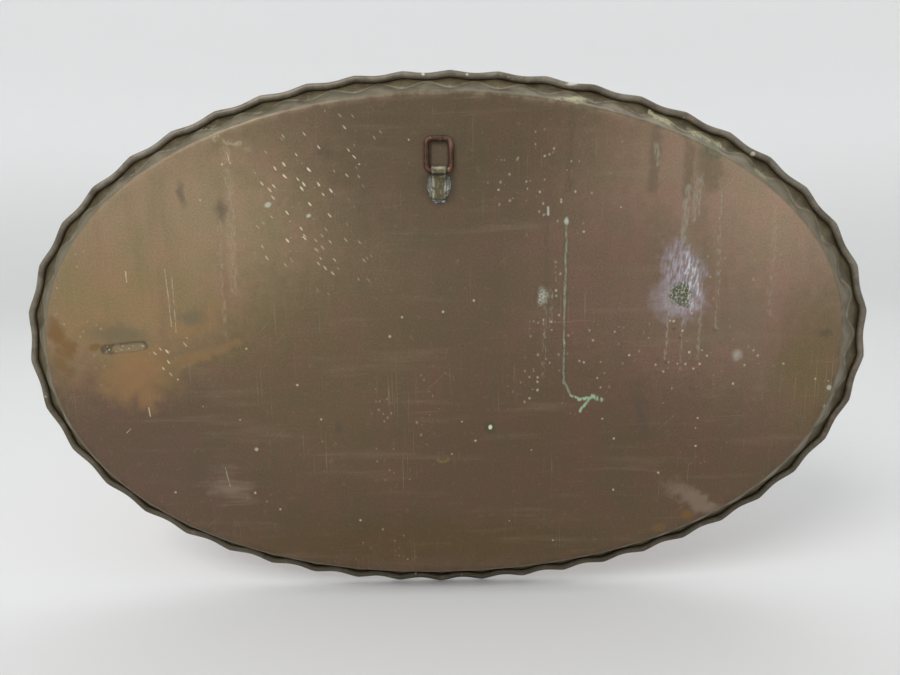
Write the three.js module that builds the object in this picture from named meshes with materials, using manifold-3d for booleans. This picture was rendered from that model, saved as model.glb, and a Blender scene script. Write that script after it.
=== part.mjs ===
// A large oval copper tray with a fluted, wire-rolled rim and a soldered hanging bail on its back.
// Millimetres. +Z is up towards the hanger, -Y points out of the back face, +Y is the show side.
// The origin is on the back face, at the middle of the oval.
import * as THREE from "three";
import Module from "manifold-3d";
import { mergeVertices } from "three/addons/utils/BufferGeometryUtils.js";

// Driving dimensions
const RIM_HALF_WIDTH = 423; // middle to the rolled rim's centre line, along X, in a valley of the flutes
const RIM_HALF_HEIGHT = 258; // the same along Z
const OVAL_POWER = 2.08; // 2 is a true ellipse, and more is squarer
const RIM_LIFT = 28.5; // back face to the rolled rim's centre line
const SHEET = 1.0; // copper sheet
const WIRE_RADIUS = 2.05; // iron wire inside the rolled rim
const WIRE_CLEARANCE = 0.45; // wire to the sheet rolled round it
const ROLL_DEGREES = 300; // how far the sheet goes round the wire
const ROLL_STEPS = 8;
const WIRE_SIDES = 8;

const FLUTES = 47;
const FLUTE_DEPTH = 3.5; // valley to crest, outwards
const TOP_EASING = 1.0; // how much shallower the flutes are at the top
// Hand unevenness round the rim, each a wave that fits so many times round and peaks at an angle
// in degrees from the top. The drifts are along the rim, in flutes. The others are outwards.
const SLOW_DRIFT = { times: 1, size: 0.2, peak: 30 };
const QUICK_DRIFT = { times: 2, size: 0.12, peak: 118 };
const LEAN = { times: 1, size: 1.5, peak: 255 };
const STRETCH = { times: 2, size: 0.6, peak: 15 };
const THREE_CORNERED = { times: 3, size: 1.3, peak: 110 };
const COLUMNS_PER_FLUTE = 3;
const FLARE_SIDE = 19; // base edge to rim centre line on the long sides
const FLARE_END = 30.4; // the same at the two ends
const BASE_SHIFT = 3.4; // how far the flat base sits towards -X in the rim
const EDGE_ROUND = 2.6; // setback of the bend between base and wall
const CREST_REACH = 0.4; // where the wall creases at a crest, as a share of the flare
const CREST_LIFT = 0.55; // the same as a share of the lift
const VALLEY_REACH = 0.86; // the crease in a valley, close under the roll
const VALLEY_LIFT = 0.9;
const HUB_SHARE = 0.2; // inner ring of the flat base, as a share of its outline

const HANGER_X = -7;
const HANGER_DROP = 89; // rim centre line at the top, down to the bail's axis
const STRAP_WIDTH = 14;
const STRAP_SHEET = 1.2;
const STRAP_LENGTH = 26; // eye axis to the strap's lower end
const NECK_LENGTH = 6.2; // eye axis to where the folded strap's leaves meet
const NECK_DEGREES = 50; // where the front leaf leaves the eye
const BAIL_WIRE_RADIUS = 2.6;
const BAIL_REACH = 29.6; // axis to the centre line of the bail's top bar
const BAIL_FOOT_CORNER = 4.2; // centre line radius of the lower corners
const BAIL_TOP_CORNER = 5.4;
const BAIL_STEPS = 64; // sections along the bail
const BAIL_SIDES = 10;
const EYE_CLEARANCE = 0.4; // bail wire to the eye
const END_CLEARANCE = 0.4; // strap edge to the bail's lower corners
const SEAT_GAP = 0.3; // between pieces that touch
const SOLDER_HEIGHT = 2.3;
const SOLDER_SPREAD = 5.6; // how far the side fillets run out from the strap
const SOLDER_LENGTH = 23;
const TOE_SPREAD = 4.2;
const MOUND_RINGS = 4;
const MOUND_SIDES = 20;

const COLUMNS = FLUTES * COLUMNS_PER_FLUTE;
const ROLL_INNER = WIRE_RADIUS + WIRE_CLEARANCE;
const EYE_INNER = BAIL_WIRE_RADIUS + EYE_CLEARANCE;
const EYE_OUTER = EYE_INNER + STRAP_SHEET;
const HANGER_Z = RIM_HALF_HEIGHT - HANGER_DROP; // height of the bail's axis
const AXIS_STANDOFF = SEAT_GAP + EYE_OUTER; // bail axis to the back face
const BAIL_HALF_WIDTH = STRAP_WIDTH / 2 + END_CLEARANCE + BAIL_FOOT_CORNER;

const wasm = await Module();
wasm.setup();

// The rim's centre line in a valley, seen from the back: it starts at the top and runs towards +X.
class RimOval extends THREE.Curve {
  getPoint(t, target = new THREE.Vector3()) {
    const turn = 2 * Math.PI * t;
    const squared = (value) => Math.sign(value) * Math.abs(value) ** (2 / OVAL_POWER);
    const x = RIM_HALF_WIDTH * squared(Math.sin(turn));
    return target.set(x, 0, RIM_HALF_HEIGHT * squared(Math.cos(turn)));
  }
}

const rim = new RimOval();
rim.arcLengthDivisions = 4000;

// Outward direction of the oval at one of its points, from its implicit equation.
function outward(point) {
  const slope = (value, half) => (Math.sign(value) * Math.abs(value / half) ** (OVAL_POWER - 1)) / half;
  return new THREE.Vector3(slope(point.x, RIM_HALF_WIDTH), 0, slope(point.z, RIM_HALF_HEIGHT)).normalize();
}

const wave = ({ times, size, peak }, angle) =>
  size * Math.cos(times * (angle - THREE.MathUtils.degToRad(peak)));
const driftAt = (angle) => wave(SLOW_DRIFT, angle) + wave(QUICK_DRIFT, angle);
const swellAt = (angle) => wave(LEAN, angle) + wave(STRETCH, angle) + wave(THREE_CORNERED, angle);

// Where column stands on the rim, and what its section needs to know about that place.
// crest and rise go from a crest of the flutes to a valley as 1 to 0 and as 0 to 1.
function stationAt(column) {
  const angle = (2 * Math.PI * (column % COLUMNS)) / COLUMNS;
  const phase = (column % COLUMNS_PER_FLUTE) / COLUMNS_PER_FLUTE;
  const place = angle / (2 * Math.PI) + driftAt(angle) / FLUTES;
  const point = rim.getPointAt(THREE.MathUtils.euclideanModulo(place, 1));
  const normal = outward(point);
  point.addScaledVector(normal, swellAt(angle));
  const flare = FLARE_SIDE + (FLARE_END - FLARE_SIDE) * normal.x ** 2 + BASE_SHIFT * normal.x;
  const rise = Math.sin(Math.PI * phase) ** 2;
  const crest = (1 - Math.sin(Math.PI * phase) + 1 - rise) / 2;
  const depth = FLUTE_DEPTH - TOP_EASING * Math.max(0, Math.cos(angle)) ** 2;
  return { point, normal, flare, rise, rollOut: depth * crest };
}

const radians = THREE.MathUtils.degToRad;
const polar = (centre, radius, angle) =>
  new THREE.Vector2(centre.x + radius * Math.cos(angle), centre.y + radius * Math.sin(angle));

// The back surface of the sheet at one column, from the base edge to the rolled lip:
// x is measured outwards from the rim's centre line, y from the back face.
function backLine({ flare, rise, rollOut }) {
  const rollCentre = new THREE.Vector2(rollOut, RIM_LIFT);
  const foot = new THREE.Vector2(-flare, 0);
  const seat = rollCentre.clone().sub(foot);
  const edgeIn = foot.clone().add(new THREE.Vector2(-EDGE_ROUND, 0));
  const edgeOut = foot.clone().add(seat.clone().setLength(EDGE_ROUND));
  const creaseShare = THREE.MathUtils.lerp(CREST_LIFT, VALLEY_LIFT, rise);
  const reachShare = THREE.MathUtils.lerp(CREST_REACH, VALLEY_REACH, rise);
  const valleyTop = flare - ROLL_INNER;
  const crease = new THREE.Vector2(foot.x + reachShare * valleyTop, creaseShare * RIM_LIFT);
  const away = rollCentre.clone().sub(crease);
  const heading = away.angle() + Math.asin(ROLL_INNER / away.length());
  const roll = Array.from({ length: ROLL_STEPS + 1 }, (_, i) =>
    polar(rollCentre, ROLL_INNER, heading + Math.PI / 2 - radians((ROLL_DEGREES * i) / ROLL_STEPS)),
  );
  return [edgeIn, edgeOut, crease, ...roll];
}

// The line moved sideways by distance, to the left of its direction, with mitred corners.
function offsetLine(line, distance) {
  const sideOf = (a, b) => b.clone().sub(a).normalize().rotateAround(new THREE.Vector2(), Math.PI / 2);
  return line.map((here, i) => {
    const before = i ? sideOf(line[i - 1], here) : new THREE.Vector2(0, 1);
    const after = i < line.length - 1 ? sideOf(here, line[i + 1]) : before;
    const mitre = before.clone().add(after).normalize();
    return here.clone().addScaledVector(mitre, distance / mitre.dot(before));
  });
}

// A closed ring of sections: it starts as a round one, and each column is then set on the oval.
function skinRound(sectionAt) {
  const first = sectionAt(0);
  const geometry = new THREE.LatheGeometry(first.map((p) => new THREE.Vector2(p.x, p.z)), COLUMNS);
  const position = geometry.getAttribute("position");
  for (let column = 0; column <= COLUMNS; column++) {
    sectionAt(column % COLUMNS).forEach((p, i) => {
      position.setXYZ(column * first.length + i, p.x, p.y, p.z);
    });
  }
  geometry.computeVertexNormals();
  return geometry;
}

const onOval = ({ point, normal }, p) => point.clone().addScaledVector(normal, p.x).setY(p.y);

function trayGeometry() {
  return skinRound((column) => {
    const station = stationAt(column);
    const back = backLine(station);
    const show = offsetLine(back, SHEET);
    const skin = [...back, ...show.reverse()].map((p) => onOval(station, p));
    const edge = skin[0];
    const hub = new THREE.Vector3(edge.x * HUB_SHARE, 0, edge.z * HUB_SHARE);
    const middle = new THREE.Vector3();
    const lift = new THREE.Vector3(0, SHEET, 0);
    return [middle, hub, ...skin, hub.clone().add(lift), middle.clone().add(lift)];
  });
}

function rimWireGeometry() {
  return skinRound((column) => {
    const station = stationAt(column);
    const centre = new THREE.Vector2(station.rollOut, RIM_LIFT);
    return Array.from({ length: WIRE_SIDES + 1 }, (_, i) =>
      onOval(station, polar(centre, WIRE_RADIUS, (2 * Math.PI * (i % WIRE_SIDES)) / WIRE_SIDES)),
    );
  });
}

// The bail's centre line: a rounded rectangle that stands on its axis, local X across and local Z up.
class BailLine extends THREE.Curve {
  constructor() {
    super();
    const [w, top, r, R] = [BAIL_HALF_WIDTH, BAIL_REACH, BAIL_FOOT_CORNER, BAIL_TOP_CORNER];
    this.outline = new THREE.Path();
    this.outline.moveTo(0, 0).lineTo(w - r, 0).absarc(w - r, r, r, -Math.PI / 2, 0);
    this.outline.lineTo(w, top - R).absarc(w - R, top - R, R, 0, Math.PI / 2);
    this.outline.lineTo(R - w, top).absarc(R - w, top - R, R, Math.PI / 2, Math.PI);
    this.outline.lineTo(-w, r).absarc(r - w, r, r, Math.PI, 1.5 * Math.PI).lineTo(0, 0);
  }
  getPoint(t, target = new THREE.Vector3()) {
    const p = this.outline.getPointAt(t);
    return target.set(p.x, 0, p.y);
  }
}

function bailGeometry() {
  return new THREE.TubeGeometry(new BailLine(), BAIL_STEPS, BAIL_WIRE_RADIUS, BAIL_SIDES, true);
}

// The folded strap from its side: x is measured off the back face, y up from the bail's axis.
function strapGeometry() {
  const neck = -radians(NECK_DEGREES);
  const leafTop = SEAT_GAP + STRAP_SHEET;
  const stackTop = leafTop + STRAP_SHEET;
  const outline = new THREE.Shape();
  outline.absarc(AXIS_STANDOFF, 0, EYE_OUTER, neck, Math.PI, false);
  outline.lineTo(SEAT_GAP, -STRAP_LENGTH).lineTo(stackTop, -STRAP_LENGTH);
  outline.lineTo(stackTop, -NECK_LENGTH - STRAP_SHEET / 2);
  const eye = new THREE.Path();
  eye.absarc(AXIS_STANDOFF, 0, EYE_INNER, neck, Math.PI, false).lineTo(leafTop, -NECK_LENGTH);
  outline.holes.push(eye);
  const options = { depth: STRAP_WIDTH, bevelEnabled: false, curveSegments: 10 };
  return new THREE.ExtrudeGeometry(outline, options);
}

// A geometry as a solid that can be cut, and back again.
function solidFrom(geometry) {
  const bare = geometry.clone().deleteAttribute("normal").deleteAttribute("uv");
  const merged = mergeVertices(bare, 1e-3);
  const vertProperties = new Float32Array(merged.getAttribute("position").array);
  const triVerts = new Uint32Array(merged.index.array);
  return new wasm.Manifold(new wasm.Mesh({ numProp: 3, vertProperties, triVerts }));
}

function geometryFrom(solid) {
  const mesh = solid.getMesh();
  const geometry = new THREE.BufferGeometry();
  geometry.setAttribute("position", new THREE.BufferAttribute(mesh.vertProperties, 3));
  geometry.setIndex(new THREE.BufferAttribute(mesh.triVerts, 1));
  geometry.computeVertexNormals();
  return geometry;
}

// A low mound of solder on the back face, halfX by halfZ, with its summit at x, z.
function moundGeometry(x, z, halfX, halfZ) {
  const profile = [new THREE.Vector2(0, 0), new THREE.Vector2(1, 0)];
  for (let i = 1; i <= MOUND_RINGS; i++) {
    const angle = (Math.PI / 2) * (i / MOUND_RINGS);
    profile.push(new THREE.Vector2(Math.cos(angle) ** 2, Math.sin(angle) * SOLDER_HEIGHT));
  }
  profile[profile.length - 1].x = 0;
  const mound = new THREE.LatheGeometry(profile, MOUND_SIDES).scale(halfX, -1, halfZ);
  mound.index.array.reverse();
  return mound.translate(x, -SEAT_GAP, z);
}

const blockAt = (lowX, highX, lowZ, highZ) => {
  const block = new THREE.BoxGeometry(highX - lowX, 4 * SOLDER_HEIGHT, highZ - lowZ);
  return block.translate((lowX + highX) / 2, 0, (lowZ + highZ) / 2);
};

const strapFoot = HANGER_Z - STRAP_LENGTH;

// side is -1 for the left fillet and 1 for the right one.
function filletGeometry(side) {
  const edge = STRAP_WIDTH / 2 + SEAT_GAP;
  const middleZ = strapFoot + SOLDER_LENGTH / 2;
  const mound = moundGeometry(HANGER_X + side * edge, middleZ, SOLDER_SPREAD, SOLDER_LENGTH / 2);
  const room = blockAt(HANGER_X - edge, HANGER_X + edge, strapFoot - STRAP_LENGTH, HANGER_Z + STRAP_LENGTH);
  return geometryFrom(solidFrom(mound).subtract(solidFrom(room)));
}

function toeGeometry() {
  const mound = moundGeometry(HANGER_X, strapFoot, STRAP_WIDTH / 2, TOE_SPREAD);
  const half = STRAP_WIDTH / 2;
  const room = blockAt(HANGER_X - half, HANGER_X + half, strapFoot - 2 * TOE_SPREAD, strapFoot - SEAT_GAP);
  return geometryFrom(solidFrom(mound).intersect(solidFrom(room)));
}

function piece(name, geometry, color, roughness, metalness) {
  const material = new THREE.MeshStandardMaterial({ color, roughness, metalness });
  const mesh = new THREE.Mesh(geometry, material);
  mesh.name = name;
  return mesh;
}

const tray = new THREE.Group();
tray.add(piece("tray_sheet", trayGeometry(), 0x66533f, 0.5, 0.7));
tray.add(piece("rim_wire", rimWireGeometry(), 0x4a4540, 0.7, 0.8));

const strap = piece("hanger_strap", strapGeometry(), 0x75693f, 0.5, 0.7);
const across = new THREE.Vector3(-1, 0, 0);
strap.setRotationFromMatrix(
  new THREE.Matrix4().makeBasis(new THREE.Vector3(0, -1, 0), new THREE.Vector3(0, 0, 1), across),
);
strap.position.set(HANGER_X + STRAP_WIDTH / 2, 0, HANGER_Z);
tray.add(strap);

const bail = piece("hanger_bail", bailGeometry(), 0x7a5444, 0.5, 0.7);
bail.position.set(HANGER_X, -AXIS_STANDOFF, HANGER_Z);
bail.rotation.x = -Math.asin((AXIS_STANDOFF - BAIL_WIRE_RADIUS - SEAT_GAP) / BAIL_REACH);
tray.add(bail);

tray.add(piece("solder_left", filletGeometry(-1), 0xb9bfc0, 0.35, 0.9));
tray.add(piece("solder_right", filletGeometry(1), 0xb9bfc0, 0.35, 0.9));
tray.add(piece("solder_toe", toeGeometry(), 0x8f9aa0, 0.4, 0.9));

export default tray;
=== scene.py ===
import bpy
import bmesh
from math import asin, atan2, cos, copysign, pi, radians, sin
from mathutils import Matrix, Vector, noise


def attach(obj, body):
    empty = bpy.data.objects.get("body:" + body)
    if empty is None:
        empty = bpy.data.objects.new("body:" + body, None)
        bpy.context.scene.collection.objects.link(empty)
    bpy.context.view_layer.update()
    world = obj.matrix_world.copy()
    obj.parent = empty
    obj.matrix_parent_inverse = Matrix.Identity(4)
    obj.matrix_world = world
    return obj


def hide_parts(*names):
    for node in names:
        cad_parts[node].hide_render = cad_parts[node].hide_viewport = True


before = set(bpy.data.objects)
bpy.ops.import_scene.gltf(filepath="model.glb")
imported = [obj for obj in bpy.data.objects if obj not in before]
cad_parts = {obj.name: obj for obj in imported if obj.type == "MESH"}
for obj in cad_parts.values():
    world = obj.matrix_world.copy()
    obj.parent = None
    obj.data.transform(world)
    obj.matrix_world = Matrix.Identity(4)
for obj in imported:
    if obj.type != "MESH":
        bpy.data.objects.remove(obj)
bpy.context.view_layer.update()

# ---------------------------------------------------------------- sizes, in millimetres
MM = 0.001
RIM_HALF_WIDTH = 423
RIM_HALF_HEIGHT = 258
OVAL_POWER = 2.08
RIM_LIFT = 28.5
SHEET = 1.0
WIRE_RADIUS = 2.05
ROLL_INNER = 2.5
ROLL_DEGREES = 305
FLUTES = 47
FLUTE_DEPTH = 3.4
TOP_EASING = 1.0
# Hand unevenness: how many times round, how much, and the peak's angle from the top in degrees.
SLOW_DRIFT, QUICK_DRIFT = (1, 0.2, 30), (2, 0.12, 118)
LEAN, STRETCH, THREE_CORNERED = (1, 1.5, 255), (2, 0.6, 15), (3, 1.3, 110)
FLARE_SIDE = 19
FLARE_END = 30.4
BASE_SHIFT = 3.4
EDGE_ROUND = 2.6
CREST_REACH, CREST_LIFT = 0.4, 0.55
VALLEY_REACH, VALLEY_LIFT = 0.86, 0.9

COLUMNS_PER_FLUTE = 16
COLUMNS = FLUTES * COLUMNS_PER_FLUTE
BASE_RINGS = [0, 0.12, 0.28, 0.45, 0.62, 0.76, 0.87, 0.94, 0.98]
EDGE_STEPS, LOWER_STEPS, UPPER_STEPS, ROLL_STEPS = 5, 3, 4, 22
WIRE_SIDES = 12

HANGER_X, HANGER_Z = -7, 169
STRAP_WIDTH = 14
STRAP_PLATE_SHARE = 0.93  # the plate is a little narrower than the eye
STRAP_SHEET = 1.2
STRAP_LENGTH = 26
STRAP_PLATE_STEP = 3.2
FOLD_DEGREES, FOLD_STEPS = 230, 20
LEAF_BEND_DEPTH, LEAF_TOP_DEPTH, LEAF_STEP = 6.9, 9.5, 2.75
BAIL_WIRE_RADIUS = 2.6
BAIL_REACH = 29.6
BAIL_FOOT_CORNER = 4.2
BAIL_TOP_CORNER = 5.4
BAIL_WEAR = 0.13
SEAT_GAP = 0.3
EYE_INNER = BAIL_WIRE_RADIUS + 0.4
AXIS_STANDOFF = SEAT_GAP + EYE_INNER + STRAP_SHEET
BAIL_HALF_WIDTH = STRAP_WIDTH / 2 + 0.4 + BAIL_FOOT_CORNER


def lerp(a, b, share):
    return a + (b - a) * share


# ---------------------------------------------------------------- meshes
def finished(name, bm, materials):
    """Turn a bmesh in millimetres into an object in metres at the origin."""
    bmesh.ops.recalc_face_normals(bm, faces=bm.faces)
    bmesh.ops.scale(bm, vec=(MM, MM, MM), verts=bm.verts)
    for face in bm.faces:
        face.smooth = True
    mesh = bpy.data.meshes.new(name)
    bm.to_mesh(mesh)
    bm.free()
    for material in materials:
        mesh.materials.append(material)
    piece = bpy.data.objects.new(name, mesh)
    bpy.context.collection.objects.link(piece)
    return piece


# ---------------------------------------------------------------- the oval and its stations
def on_oval(turn):
    def squared(value):
        return copysign(abs(value) ** (2 / OVAL_POWER), value)

    return Vector((RIM_HALF_WIDTH * squared(sin(turn)), RIM_HALF_HEIGHT * squared(cos(turn))))


def outward(point):
    def slope(value, half):
        return copysign(abs(value / half) ** (OVAL_POWER - 1), value) / half

    return Vector((slope(point.x, RIM_HALF_WIDTH), slope(point.y, RIM_HALF_HEIGHT))).normalized()


OVAL_STEPS = 4000
OVAL_POINTS = [on_oval(2 * pi * i / OVAL_STEPS) for i in range(OVAL_STEPS + 1)]
OVAL_LENGTHS = [0.0]
for before, after in zip(OVAL_POINTS, OVAL_POINTS[1:]):
    OVAL_LENGTHS.append(OVAL_LENGTHS[-1] + (after - before).length)


def oval_at_share(share):
    """The point of the rim's centre line at a share of its length from the top."""
    wanted = (share % 1) * OVAL_LENGTHS[-1]
    low, high = 0, OVAL_STEPS
    while high - low > 1:
        middle = (low + high) // 2
        if OVAL_LENGTHS[middle] <= wanted:
            low = middle
        else:
            high = middle
    part = (wanted - OVAL_LENGTHS[low]) / (OVAL_LENGTHS[high] - OVAL_LENGTHS[low])
    return OVAL_POINTS[low].lerp(OVAL_POINTS[high], part)


def wave(shape, angle):
    times, size, peak = shape
    return size * cos(times * (angle - radians(peak)))


def drift_at(angle):
    return wave(SLOW_DRIFT, angle) + wave(QUICK_DRIFT, angle)


def swell_at(angle):
    return wave(LEAN, angle) + wave(STRETCH, angle) + wave(THREE_CORNERED, angle)


def station_at(column):
    angle = 2 * pi * column / COLUMNS
    phase = (column % COLUMNS_PER_FLUTE) / COLUMNS_PER_FLUTE
    point = oval_at_share(column / COLUMNS + drift_at(angle) / FLUTES)
    normal = outward(point)
    point = point + normal * swell_at(angle)
    flare = FLARE_SIDE + (FLARE_END - FLARE_SIDE) * normal.x ** 2 + BASE_SHIFT * normal.x
    rise = sin(pi * phase) ** 2
    crest = (1 - sin(pi * phase) + 1 - rise) / 2
    depth = FLUTE_DEPTH - TOP_EASING * max(0, cos(angle)) ** 2
    return {"point": point, "normal": normal, "flare": flare, "rise": rise, "roll_out": depth * crest}


STATIONS = [station_at(column) for column in range(COLUMNS)]


def set_on_oval(station, out, height):
    flat = station["point"] + station["normal"] * out
    return Vector((flat.x, height, flat.y))


def polar(centre, radius, angle):
    return centre + Vector((cos(angle), sin(angle))) * radius


def back_line(station):
    """The back surface of the sheet at one column, out from the base edge to the rolled lip."""
    flare, rise = station["flare"], station["rise"]
    roll_centre = Vector((station["roll_out"], RIM_LIFT))
    foot = Vector((-flare, 0))
    edge_in = foot - Vector((EDGE_ROUND, 0))
    edge_out = foot + (roll_centre - foot).normalized() * EDGE_ROUND
    crease = Vector((
        foot.x + lerp(CREST_REACH, VALLEY_REACH, rise) * (flare - ROLL_INNER),
        lerp(CREST_LIFT, VALLEY_LIFT, rise) * RIM_LIFT,
    ))
    away = roll_centre - crease
    heading = atan2(away.y, away.x) + asin(ROLL_INNER / away.length)
    roll = [
        polar(roll_centre, ROLL_INNER, heading + pi / 2 - radians(ROLL_DEGREES * i / ROLL_STEPS))
        for i in range(ROLL_STEPS + 1)
    ]
    bend = [
        edge_in.lerp(foot, t).lerp(foot.lerp(edge_out, t), t)
        for t in (i / EDGE_STEPS for i in range(EDGE_STEPS + 1))
    ]
    lower = [edge_out.lerp(crease, i / LOWER_STEPS) for i in range(1, LOWER_STEPS + 1)]
    upper = [crease.lerp(roll[0], i / UPPER_STEPS) for i in range(1, UPPER_STEPS)]
    return bend + lower + upper + roll


CREASE_ROW = EDGE_STEPS + LOWER_STEPS
ROLL_ROW = CREASE_ROW + UPPER_STEPS


def offset_line(line, distance):
    """The line moved to the left of its direction, with mitred corners."""
    moved = []
    for i, here in enumerate(line):
        sides = []
        if i:
            sides.append((here - line[i - 1]).orthogonal().normalized())
        if i < len(line) - 1:
            sides.append((line[i + 1] - here).orthogonal().normalized())
        if i == 0:
            sides.append(Vector((0, 1)))
        mitre = sum(sides, Vector((0, 0))).normalized()
        moved.append(here + mitre * (distance / mitre.dot(sides[0])))
    return moved


def spun_ring(rows, closed, columns):
    """A ring of sections, spun round the Y axis. Each vertex knows its row and column."""
    bm = bmesh.new()
    row_layer = bm.verts.layers.int.new("row")
    column_layer = bm.verts.layers.int.new("column")
    line = [bm.verts.new((0, i, 1)) for i in range(rows)]
    for i, vert in enumerate(line):
        vert[row_layer] = i
    edges = [bm.edges.new((a, b)) for a, b in zip(line, line[1:])]
    if closed:
        edges.append(bm.edges.new((line[-1], line[0])))
    bmesh.ops.spin(
        bm, geom=line + edges, cent=(0, 0, 0), axis=(0, 1, 0), dvec=(0, 0, 0),
        angle=2 * pi, steps=columns, use_merge=True,
    )
    for vert in bm.verts:
        vert[column_layer] = round(atan2(vert.co.x, vert.co.z) / (2 * pi) * columns) % columns
    return bm, row_layer, column_layer


def tray_shell(back_material, show_material, hem_material):
    first = back_line(STATIONS[0])
    line_rows = len(first)
    rings = len(BASE_RINGS)
    rows = 2 * (rings + line_rows)
    bm, row_layer, column_layer = spun_ring(rows, False, COLUMNS)
    fold_highlight = bm.verts.layers.float.new("fold_highlight")
    wall = bm.verts.layers.float.new("wall")
    flange = bm.verts.layers.float.new("flange")
    edge_line = bm.verts.layers.float.new("edge_line")
    sections = []
    for station in STATIONS:
        back = back_line(station)
        show = offset_line(back, SHEET)
        skin = [set_on_oval(station, p.x, p.y) for p in back]
        inside = [set_on_oval(station, p.x, p.y) for p in show]
        edge = skin[0]
        base = [Vector((edge.x * share, 0, edge.z * share)) for share in BASE_RINGS]
        floor = [p + Vector((0, SHEET, 0)) for p in base]
        sections.append(base + skin + inside[::-1] + floor[::-1])
    crease_rows = {rings + CREASE_ROW, rings + 2 * line_rows - 1 - CREASE_ROW}
    for vert in bm.verts:
        row, column = vert[row_layer], vert[column_layer]
        vert.co = sections[column][row]
        ridge = column % COLUMNS_PER_FLUTE == 0 and rings + CREASE_ROW < row < rings + ROLL_ROW
        vert[fold_highlight] = 1.0 if row in crease_rows else 0.5 if ridge else 0.0
        step = min(row, rows - 1 - row) - rings
        vert[wall] = min(1, max(0, (step - 1) / (EDGE_STEPS - 2)))
        vert[edge_line] = max(0, 1 - abs(step - 1) / 2) if row < rows / 2 else 0
        vert[flange] = min(1, max(0, (step - CREASE_ROW + 1) / 2))
    poles = [v for v in bm.verts if v[row_layer] in (0, rows - 1)]
    bmesh.ops.remove_doubles(bm, verts=poles, dist=0.001)
    for edge in bm.edges:
        a, b = edge.verts
        on_crease = a[row_layer] == b[row_layer] and a[row_layer] in crease_rows
        on_ridge = (
            a[column_layer] == b[column_layer] and a[column_layer] % COLUMNS_PER_FLUTE == 0
            and rings + CREASE_ROW <= min(a[row_layer], b[row_layer])
            and max(a[row_layer], b[row_layer]) <= rings + ROLL_ROW
        )
        edge.smooth = not (on_crease or on_ridge)
    show_from = rings + line_rows + ROLL_STEPS
    for face in bm.faces:
        row = max(v[row_layer] for v in face.verts)
        if row <= rings + ROLL_ROW:
            face.material_index = 0
        elif row <= show_from:
            face.material_index = 2
        else:
            face.material_index = 1
    return finished("tray_shell", bm, [back_material, show_material, hem_material])


def rim_core(material):
    bm, row_layer, column_layer = spun_ring(WIRE_SIDES, True, COLUMNS)
    for vert in bm.verts:
        station = STATIONS[vert[column_layer]]
        centre = Vector((station["roll_out"], RIM_LIFT))
        p = polar(centre, WIRE_RADIUS, 2 * pi * vert[row_layer] / WIRE_SIDES)
        vert.co = set_on_oval(station, p.x, p.y)
    return finished("rim_core_wire", bm, [material])


# ---------------------------------------------------------------- hanger
AXIS = Vector((HANGER_X, -AXIS_STANDOFF, HANGER_Z))
STRAP_FOOT = HANGER_Z - STRAP_LENGTH


def modified(piece, kind, **settings):
    modifier = piece.modifiers.new(kind.lower(), kind)
    for name, value in settings.items():
        setattr(modifier, name, value)
    return modifier


def strap_line():
    """The folded strap's middle line from its side: off the back face, and up from the bail's axis."""
    radius = EYE_INNER + STRAP_SHEET / 2
    back_leaf, front_leaf = SEAT_GAP + STRAP_SHEET / 2, SEAT_GAP + 1.55 * STRAP_SHEET
    eye = Vector((AXIS_STANDOFF, 0))
    line = [Vector((back_leaf, -STRAP_LENGTH + STRAP_PLATE_STEP * i)) for i in range(8)]
    line += [
        polar(eye, radius, radians(180 - FOLD_DEGREES * i / FOLD_STEPS))
        for i in range(FOLD_STEPS + 1)
    ]
    neck = line[-1]
    bend, leaf = Vector((front_leaf + 0.2, -LEAF_BEND_DEPTH)), Vector((front_leaf, -LEAF_TOP_DEPTH))
    line += [neck.lerp(bend, t).lerp(bend.lerp(leaf, t), t) for t in (0.3, 0.6, 0.8, 0.92, 1)]
    return line + [Vector((front_leaf, -LEAF_TOP_DEPTH - LEAF_STEP * i)) for i in range(1, 7)]


def hanger_strap(material):
    bm = bmesh.new()
    line = [bm.verts.new((0, -p.x, p.y)) for p in strap_line()]
    edges = [bm.edges.new(pair) for pair in zip(line, line[1:])]
    across = 6
    for _ in range(across):
        made = bmesh.ops.extrude_edge_only(bm, edges=edges)["geom"]
        edges = [e for e in made if isinstance(e, bmesh.types.BMEdge) and all(v in made for v in e.verts)]
        moved = [v for v in made if isinstance(v, bmesh.types.BMVert)]
        bmesh.ops.translate(bm, verts=moved, vec=(STRAP_WIDTH / across, 0, 0))
        edges = [e for e in edges if abs(e.verts[0].co.x - e.verts[1].co.x) < 0.01]
    for vert in bm.verts:
        widening = max(0, min(1, (vert.co.z + 4) / 5))
        x = (vert.co.x - STRAP_WIDTH / 2) * lerp(STRAP_PLATE_SHARE, 1, widening)
        wobble = noise.noise(Vector((vert.co.x, vert.co.y, vert.co.z)) * 0.35) * 0.12
        vert.co = Vector((HANGER_X + x, vert.co.y - max(0, wobble), HANGER_Z + vert.co.z))
    piece = finished("hanger_strap_folded", bm, [material])
    modified(piece, "SOLIDIFY", thickness=STRAP_SHEET * MM, offset=0)
    modified(piece, "BEVEL", width=0.28 * MM, segments=2, limit_method="ANGLE", angle_limit=radians(50))
    return piece


def bail_line():
    half, top, r, R = BAIL_HALF_WIDTH, BAIL_REACH, BAIL_FOOT_CORNER, BAIL_TOP_CORNER
    corners = [
        ((half - r, r), r, -90), ((half - R, top - R), R, 0),
        ((R - half, top - R), R, 90), ((r - half, r), r, 180),
    ]
    line = []
    for centre, radius, start in corners:
        corner = [polar(Vector(centre), radius, radians(start + 9 * i)) for i in range(11)]
        if line:
            line += [line[-1].lerp(corner[0], i / 8) for i in range(1, 8)]
        line += corner
    return line + [line[-1].lerp(line[0], i / 8) for i in range(1, 8)]


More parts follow.
